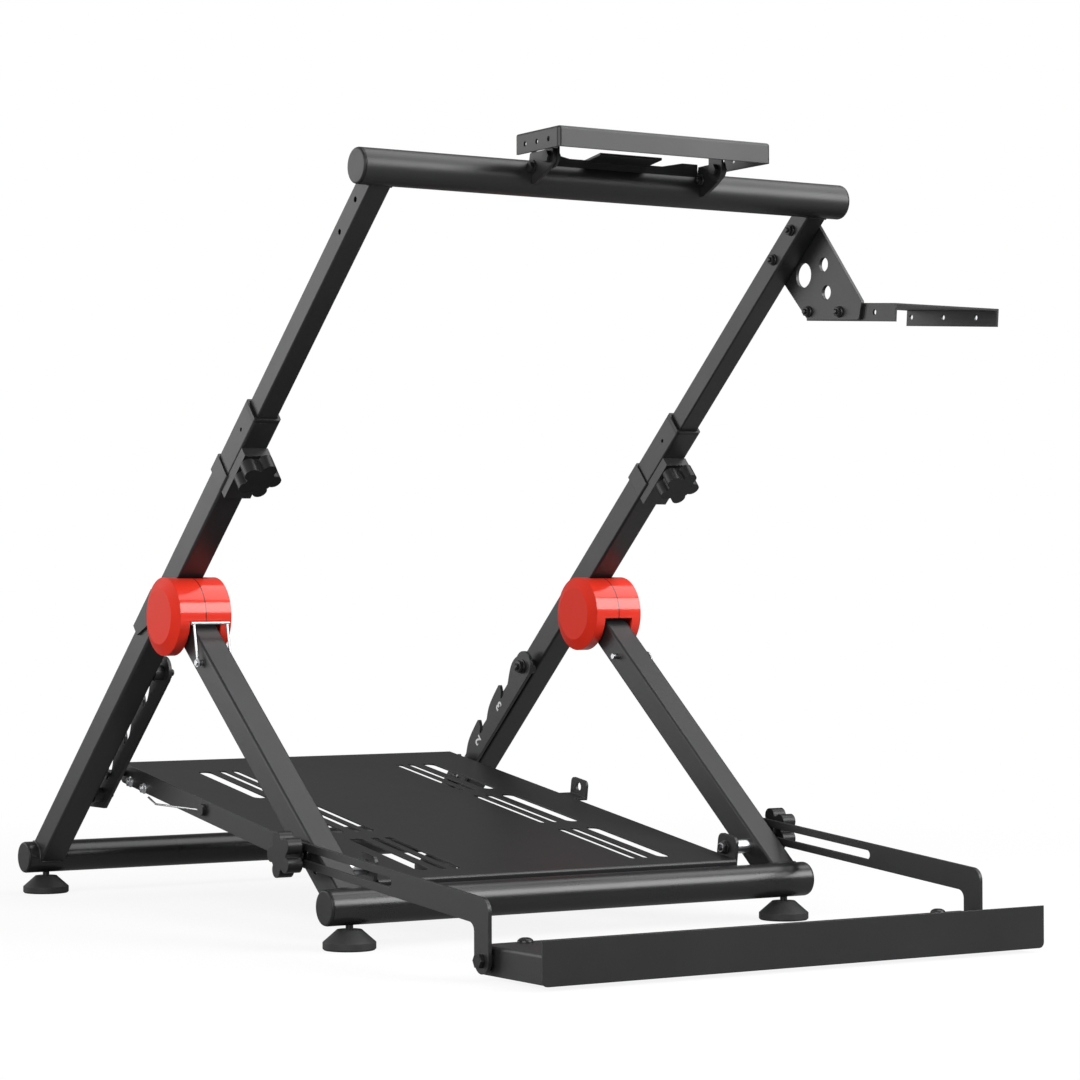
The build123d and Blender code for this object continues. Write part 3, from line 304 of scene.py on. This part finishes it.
def black_bolt(start):
    """Blackened bolt steel, shinier where a spanner has been."""
    rub = noise(object_place(start), 420, 3, 0.6)
    return surface(
        between(rub, (0.012, 0.012, 0.013), (0.05, 0.05, 0.052)),
        0.26 + rub * 0.16,
        Normal=rounded_bump(rub, 0.10, 0.0002, 0.0004),
        Metallic=0.6,
    )


def hook_finish(start):
    """Pin with a black head round its axis and a bright wire away from it."""
    place = object_place(start)
    marks = noise(place, 700, 2, 0.5, (2, 0.3, 2))
    head = ramp(vector_maths(place, "DISTANCE", HOOK_PIN), 0.0088, 0.0094, 1.0, 0.0)
    steel = between(marks, (0.72, 0.73, 0.75), (0.84, 0.85, 0.86))
    return surface(
        between(head, steel, (0.015, 0.015, 0.016)),
        0.12 + marks * 0.10 + head * 0.20,
        Normal=rounded_bump(marks, 0.05, 0.0001, 0.0006),
        Metallic=1 - head,
    )


def number_paint(start):
    """White paint of the numbers, thin in places."""
    thin = noise(object_place(start), 1400, 3, 0.6)
    return surface(between(thin, (0.70, 0.70, 0.69), (0.88, 0.88, 0.87)), 0.42 + thin * 0.15)


COAT = material("satin_black_coat", powder_coat)
TUBE = material("satin_black_tube_coat", tube_coat)
RED = material("red_hub_plastic", hub_plastic)
KNOB = material("black_knob_plastic", knob_plastic)
RUBBER = material("foot_rubber", foot_rubber)
ZINC = material("bright_zinc", zinc_plate)
WIRE = material("polished_wire", bright_wire)
BOLT = material("black_bolt_steel", black_bolt)
HOOK = material("hook_pin", hook_finish)
PAINT = material("number_paint", number_paint)

# Finishes of the carried-over nodes

finish_of = {
    "black_steel": COAT, "red_plastic": RED, "black_plastic": KNOB, "foot_rubber": RUBBER, "zinc": ZINC,
    "bright_wire": WIRE,
}
slot_of = {piece["node"]: piece["material_slot"] for piece in frame["record"]["subparts"]}
other_finish = {
    "front_tube": TUBE, "rear_tube": TUBE, "rest_rod": COAT, "notched_plate_spacers": COAT, "plate_pin": HOOK,
    "chair_bar_bolts": BOLT, "wheel_pivot_bolts": BOLT, "arm_spacers": BOLT,
    "rear_foot_studs": BOLT, "front_foot_studs": BOLT,
}
for name, node in nodes.items():
    node.data.materials.clear()
    node.data.materials.append(other_finish.get(name, finish_of[slot_of[name]]))


# Modelling helpers: each shape is a small bmesh on its own axis, set in place in the piece's mesh


def lathe(profile, steps=32):
    """A turned shape from a profile of (radius, height) points."""
    shape = bmesh.new()
    corners = [shape.verts.new((radius, 0, height)) for radius, height in profile]
    edges = [shape.edges.new(pair) for pair in zip(corners, corners[1:])]
    bmesh.ops.spin(
        shape, geom=corners + edges, cent=(0, 0, 0), axis=(0, 0, 1), dvec=(0, 0, 0),
        angle=math.tau, steps=steps, use_merge=True,
    )
    return shape


def hexagon(across, low, high, chamfer):
    """A hexagon prism with a chamfered upper face."""
    shape = bmesh.new()
    corner = across / math.sqrt(3)
    bmesh.ops.create_cone(
        shape, cap_ends=True, segments=6, radius1=corner, radius2=corner,
        depth=high - low, matrix=Matrix.Translation((0, 0, (low + high) / 2)),
    )
    rim = [e for e in shape.edges if all(v.co.z > high - 1e-6 for v in e.verts)]
    bmesh.ops.bevel(
        shape, geom=rim, offset=chamfer, offset_type="OFFSET", segments=2, profile=0.5,
        affect="EDGES", material=-1,
    )
    return shape


def round_bar(radius, length, end):
    """A bar along Z with broken ends, centred on its own middle."""
    half = length / 2
    return lathe([
        (0, -half), (radius - end, -half), (radius, end - half),
        (radius, half - end), (radius - end, half), (0, half),
    ], 16)


def arc_bar(radius, bend, share):
    """A bar bent round the X axis at a distance, from -share to share."""
    shape = bmesh.new()
    bmesh.ops.create_circle(
        shape, cap_ends=True, segments=10, radius=radius,
        matrix=Matrix.Translation((0, 0, bend)) @ Matrix.Rotation(math.pi / 2, 4, "X"),
    )
    bmesh.ops.rotate(shape, verts=shape.verts, cent=(0, 0, 0), matrix=Matrix.Rotation(share, 3, "X"))
    bmesh.ops.spin(
        shape, geom=list(shape.faces), cent=(0, 0, 0), axis=(1, 0, 0), dvec=(0, 0, 0),
        angle=-2 * share, steps=14, use_merge=False,
    )
    return shape


def piece(name, body, finish, slot, shapes, smooth=35):
    """One object from (shape, matrix) pairs, closed and facing outwards, riding on its body."""
    whole = bmesh.new()
    for shape, place in shapes:
        bmesh.ops.remove_doubles(shape, verts=shape.verts, dist=1e-6)
        bmesh.ops.transform(shape, matrix=place, verts=shape.verts)
        bmesh.ops.recalc_face_normals(shape, faces=shape.faces)
        part = bpy.data.meshes.new("part")
        shape.to_mesh(part)
        shape.free()
        whole.from_mesh(part)
        bpy.data.meshes.remove(part)
    mesh = bpy.data.meshes.new(name)
    whole.to_mesh(mesh)
    whole.free()
    for face in mesh.polygons:
        face.use_smooth = True
    mesh.set_sharp_from_angle(angle=math.radians(smooth))
    mesh.materials.append(finish)
    made = bpy.data.objects.new(name, mesh)
    scene.collection.objects.link(made)
    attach(made, body)


def nut(at, outward, size, spin=0.3):
    """A flange nut on the end of its bolt."""
    across, high, stud, show = size
    edge, top, chamfer = 0.0011, 0.0018, 0.0008
    place = facing(at, outward, spin)
    flange = [(0, 0), (across * 0.64, 0), (across * 0.64, edge), (across * 0.55, top), (0, top)]
    tip = high + show
    end = [(0, high), (stud, high), (stud, tip - chamfer), (stud - chamfer, tip), (0, tip)]
    return [(lathe(flange), place), (hexagon(across, 0.0015, high, chamfer), place), (lathe(end, 24), place)]


def hex_head(at, outward):
    """A hexagon bolt head on a washer."""
    across, high, thick = 0.010, 0.004, 0.0014
    seat = thick - 0.0001
    place = facing(at, outward, 0.3)
    washer = [(0, 0), (across * 0.72, 0), (across * 0.74, 0.0004), (across * 0.72, thick), (0, thick)]
    return [(lathe(washer), place), (hexagon(across, seat, seat + high, 0.0009), place)]


def button_head(at, outward):
    """A domed screw head with a socket in its top."""
    radius, high, rim, socket = 0.008, 0.0046, 0.0007, 0.0028
    sweep = math.radians(62)
    dome = [(0, 0), (radius, 0), (radius, rim)]
    for step in range(1, 7):
        turn = step / 6 * sweep
        dome.append((radius * math.cos(turn), rim + (high - rim) * math.sin(turn) / math.sin(sweep)))
    dome += [(socket, high), (socket * 0.96, high - 0.0022), (0, high - 0.0026)]
    return [(lathe(dome), facing(at, outward))]


# Nuts and bolt heads

notched, pedal_bolts, bracket_bolts, gusset_bolts, tray_screws, pivot_nuts = [], [], [], [], [], []
for side, outward in ((-1, LEFT), (1, RIGHT)):
    for along in SEAT_NUTS:
        notched += nut(on_leg(side * NOTCH_X, along, SEAT_NUT_OFF), -outward, SEAT_NUT)
    for back, up in FLANGE_BOLTS:
        pedal_bolts += nut(Vector((side * PLATE_EDGE, back, up)), outward, FLANGE_NUT, 0.5)
    bracket_bolts += hex_head(BRACKET_BOLT + outward * BRACKET_OUTSIDE, outward)
    bracket_bolts += nut(BRACKET_BOLT + outward * BRACKET_INSIDE, -outward, BRACKET_NUT)
    tray_screws += button_head(TRAY_SCREW + outward * TRAY_SCREW_X, UP)
    pivot_nuts += nut(PIVOT + outward * PLATE_EDGE, -outward, PIVOT_NUT, 0.8)

inner_face, outer_face = RIGHT * (LEG_X - INNER_HALF), RIGHT * (LEG_X + INNER_HALF)
for down in GUSSET_BOLTS:
    spot = on_leg(0, LEG_LONG - down)
    gusset_bolts += nut(spot + inner_face, LEFT, GUSSET_NUT)
    gusset_bolts += hex_head(spot + outer_face + RIGHT * GUSSET_SHEET, RIGHT)
shelf_forward = Vector((0, -math.cos(SHELF_SLOPE), -math.sin(SHELF_SLOPE)))
for forward in (0, SHELF_PITCH):
    spot = on_leg(0, LEG_LONG - SHELF_BOLT_DOWN, SHELF_BOLT_OFF) + shelf_forward * forward
    gusset_bolts += nut(spot + outer_face, LEFT, GUSSET_NUT)
    gusset_bolts += hex_head(spot + outer_face + RIGHT * (GUSSET_SHEET + SHELF_SHEET), RIGHT)

piece("notched_plate_nuts", "rear_frame", BOLT, "zinc", notched)
piece("pedal_flange_bolts", "pedal_plate", ZINC, "zinc", pedal_bolts)
piece("wheel_bracket_bolts", "upper_frame", BOLT, "zinc", bracket_bolts)
piece("gusset_bolts", "upper_frame", BOLT, "zinc", gusset_bolts)
piece("tray_screws", "chair_bar", BOLT, "zinc", tray_screws)
piece("pedal_pivot_nuts", "front_frame", BOLT, "zinc", pivot_nuts)

# Wire eyes at the ends of the left lock pin

EYE_R, EYE_WIRE, EYE_STEPS = 0.0042, 0.0013, 10
eyes = []
for end in (-1, 1):
    turns = [step * math.tau / EYE_STEPS for step in range(EYE_STEPS + 1)]
    ring = [(EYE_R + EYE_WIRE * math.cos(turn), EYE_WIRE * math.sin(turn)) for turn in turns]
    eyes.append((lathe(ring, 24), facing(LOCK + LEFT * LEG_X + RIGHT * end * LOCK_HALF, RIGHT)))
piece("lock_pin_eyes", "front_frame", WIRE, "bright_wire", eyes)

# Weld beads where the square legs stand on the round tubes


def weld(x, tube, direction, half):
    """Bead round a square leg on a round tube: two runs across and an arc on either side."""
    across = direction.cross(RIGHT)
    share = math.asin(half / TUBE_R)
    up = math.sqrt(TUBE_R**2 - half**2)
    middle = tube + RIGHT * x
    turn = axes(RIGHT, -across, direction)
    crest = middle + direction * up
    runs = [
        (round_bar(0.0014, 2 * half - 0.004, 0.001), facing(crest + across * way * half, RIGHT))
        for way in (-1, 1)
    ]
    arcs = [
        (arc_bar(0.0013, TUBE_R, share * 0.96), Matrix.Translation(middle + RIGHT * way * half) @ turn)
        for way in (-1, 1)
    ]
    return runs + arcs


for name, body, tube, direction, half in (
    ("rear_welds", "rear_frame", REAR_TUBE, LEG_UP, LEG_HALF),
    ("front_welds", "front_frame", FRONT_TUBE, SHORT_UP, LEG_HALF),
    ("crossbar_welds", "upper_frame", CROSSBAR, -LEG_UP, INNER_HALF),
):
    beads = weld(-LEG_X, tube, direction, half) + weld(LEG_X, tube, direction, half)
    piece(name, body, COAT, "black_steel", beads, 60)

# Numbers on the inner faces of the notched plates, their heads towards the rear tube

FIGURE_SIZE = 0.018125
FIGURE_BEFORE_SEAT = 0.0185
FIGURE_OFF = -0.0085


def number(text, side, seat):
    """A painted figure beside a notch, as a mesh and its place."""
    words = bpy.data.curves.new("words", "FONT")
    words.body = text
    words.size = FIGURE_SIZE
    words.align_x = words.align_y = "CENTER"
    words.extrude = 0.00012
    words.offset = 0.0005
    holder = bpy.data.objects.new("words", words)
    scene.collection.objects.link(holder)
    mesh = bpy.data.meshes.new_from_object(holder.evaluated_get(bpy.context.evaluated_depsgraph_get()))
    bpy.data.objects.remove(holder)
    shape = bmesh.new()
    shape.from_mesh(mesh)
    bpy.data.meshes.remove(mesh)
    outward, up = (LEFT if side > 0 else RIGHT), -LEG_UP
    at = on_leg(side * NOTCH_X, seat - FIGURE_BEFORE_SEAT, FIGURE_OFF) + outward * 0.0001
    return shape, Matrix.Translation(at) @ axes(up.cross(outward), up, outward)


figures = [number(text, side, seat) for side in (-1, 1) for text, seat in zip("123", SEATS)]
piece("plate_numbers", "rear_frame", PAINT, None, figures)

# Floor, light and camera


def white_floor(start):
    """Pale floor: near white to the eye, greyer in reflections, with the object's soft shadow."""
    eye = ray(start, "Camera")
    mirror = eye.maths("MAXIMUM", ray(start, "Glossy"), ray(start, "Transmission"))
    away = vector_maths(object_place(start), "LENGTH")
    far = ramp(away, 0.7, 1.7, 0.88, 1.0, "SMOOTHSTEP")
    plain = start.node("ShaderNodeBsdfDiffuse", None, {"Color": between(eye, grey(0.24), grey(0.92))})
    white = start.node("ShaderNodeEmission", None, {"Color": (1, 1, 1, 1), "Strength": 1.0})
    return start.node("ShaderNodeMixShader", None, {0: eye * far + mirror * 0.15, 1: plain, 2: white})


ground = bmesh.new()
bmesh.ops.create_grid(ground, x_segments=1, y_segments=1, size=30, matrix=Matrix.Translation((0, 0, -0.0003)))
floor_mesh = bpy.data.meshes.new("floor")
ground.to_mesh(floor_mesh)
ground.free()
floor_mesh.materials.append(material("white_floor", white_floor))
floor = bpy.data.objects.new("floor", floor_mesh)
scene.collection.objects.link(floor)

# Room: lighter at the left and rear, half as strong on matt surfaces as in reflections, white to the eye

world = bpy.data.worlds.new("studio")
scene.world = world
world.use_nodes = True
world.node_tree.nodes.clear()
sky = Wire(world.node_tree)
left_back = vector_maths(sky.node("ShaderNodeTexCoord", out="Generated"), "DOT_PRODUCT", (-0.75, 0.66, 0.1))
room = ramp(left_back, 0.0, 0.9, 0.12, 0.60, "SMOOTHSTEP")
lit = room * 0.45
seen = lit + (room - lit) * sky.maths("MAXIMUM", ray(sky, "Glossy"), ray(sky, "Transmission"))
strength = seen + (1 - seen) * ray(sky, "Camera")
glow = sky.node("ShaderNodeBackground", None, {"Color": (1, 1, 1, 1), "Strength": strength})
sky.node("ShaderNodeOutputWorld", None, {"Surface": glow})


def softbox(name, at, towards, width, height, power):
    """A lamp with a rectangular face, turned towards a point."""
    lamp = bpy.data.lights.new(name, "AREA")
    lamp.shape, lamp.size, lamp.size_y, lamp.energy = "RECTANGLE", width, height, power
    made = bpy.data.objects.new(name, lamp)
    made.location = at
    made.rotation_euler = (Vector(towards) - Vector(at)).to_track_quat("-Z", "Y").to_euler()
    scene.collection.objects.link(made)


softbox("left_softbox", (-2.2, 2.3, 1.1), (0, -0.1, 0.4), 2.6, 2.0, 31)
softbox("top_softbox", (1.1, -0.6, 2.7), (0, -0.1, 0.3), 2.2, 2.2, 44)
softbox("front_softbox", (2.1, -3.0, 2.0), (0, -0.4, 0.6), 2.4, 1.9, 124)
softbox("fill_softbox", (-2.4, -2.0, 1.4), (0, -0.2, 0.4), 2.4, 2.4, 72)

# Camera, as fitted to the photograph; its focal length and middle row are in pixels

PICTURE, FOCAL, MIDDLE_ROW = 1080, 3248.31, 529.65
CAMERA_AT = (-1.90506, -3.32639, 0.36858)
yaw, pitch, roll = math.radians(32.32), math.radians(-1.09), math.radians(-0.16)
forward = Vector((math.sin(yaw) * math.cos(pitch), math.cos(yaw) * math.cos(pitch), -math.sin(pitch)))
level = Vector((math.cos(yaw), -math.sin(yaw), 0))
above = level.cross(forward)
aside = level * math.cos(roll) + above * math.sin(roll)
upright = above * math.cos(roll) - level * math.sin(roll)
lens = bpy.data.cameras.new("camera")
lens.sensor_width = 36
lens.lens = lens.sensor_width * FOCAL / PICTURE
lens.shift_y = (MIDDLE_ROW - PICTURE / 2) / PICTURE
lens.clip_start, lens.clip_end = 0.1, 100
camera = bpy.data.objects.new("camera", lens)
camera.matrix_world = Matrix.Translation(CAMERA_AT) @ axes(aside, upright, -forward)
scene.collection.objects.link(camera)
scene.camera = camera

scene.view_settings.view_transform = "Standard"
